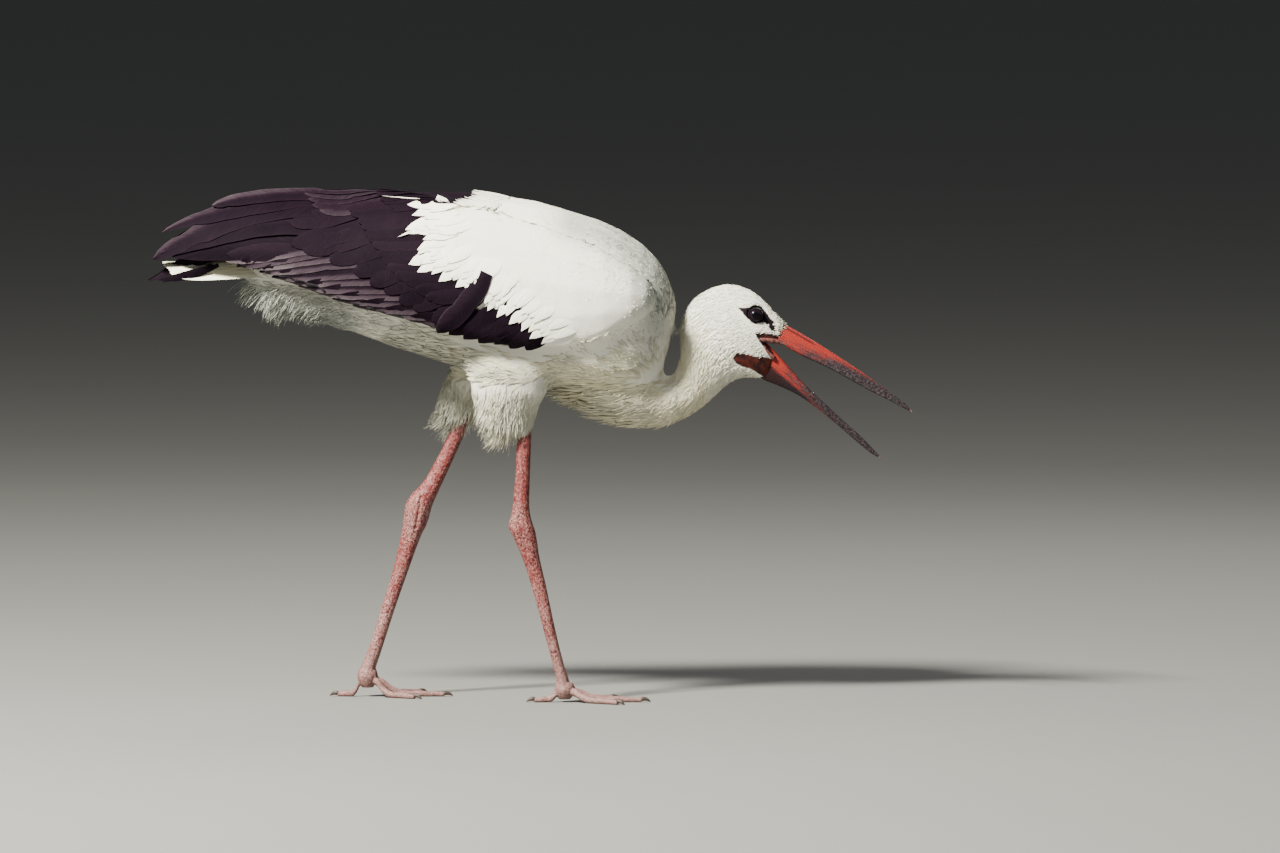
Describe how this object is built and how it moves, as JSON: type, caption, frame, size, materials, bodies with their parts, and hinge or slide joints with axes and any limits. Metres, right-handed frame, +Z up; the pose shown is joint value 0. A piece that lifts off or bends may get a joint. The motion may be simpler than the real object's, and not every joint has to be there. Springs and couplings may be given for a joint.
{
  "type": "white stork museum model",
  "caption": "Life-size still model of a walking white stork with a folded neck, an open dagger bill, closed black and white wings and long bare legs.",
  "frame": {"origin": "on the floor, under the middle of the bird's bounding box", "axes": "+X the way the bird faces, +Y to its left, +Z up"},
  "size_m": [0.821, 0.1992, 0.5505],
  "materials": {
    "white_plumage": "soft matte feather",
    "black_plumage": "dark feather with a faint purple sheen",
    "bill": "satin horn, orange-red at the base and blackish towards the tip",
    "leg_skin": "scaly matte skin, pink-red under pale scales",
    "eye": "wet gloss",
    "claw": "dark horn"
  },
  "bodies": {
    "root": {"bill_lower": "bill", "bill_upper": "bill", "claw_left_hind": "claw", "claw_left_inner": "claw", "claw_left_middle": "claw", "claw_left_outer": "claw", "claw_right_hind": "claw", "claw_right_inner": "claw", "claw_right_middle": "claw", "claw_right_outer": "claw", "eye_left": "eye", "eye_right": "eye", "foot_left": "leg_skin", "foot_right": "leg_skin", "head": "white_plumage", "neck_lower": "white_plumage", "neck_upper": "white_plumage", "shank_left": "leg_skin", "shank_right": "leg_skin", "tail": "white_plumage", "tarsus_left": "leg_skin", "tarsus_right": "leg_skin", "thigh_left": "white_plumage", "thigh_right": "white_plumage", "toe_left_hind": "leg_skin", "toe_left_inner": "leg_skin", "toe_left_middle": "leg_skin", "toe_left_outer": "leg_skin", "toe_right_hind": "leg_skin", "toe_right_inner": "leg_skin", "toe_right_middle": "leg_skin", "toe_right_outer": "leg_skin", "trunk": "white_plumage", "wing_left_coverts": "white_plumage", "wing_left_primaries": "black_plumage", "wing_left_secondaries": "black_plumage", "wing_right_coverts": "white_plumage", "wing_right_primaries": "black_plumage", "wing_right_secondaries": "black_plumage"}
  },
  "joints": []
}
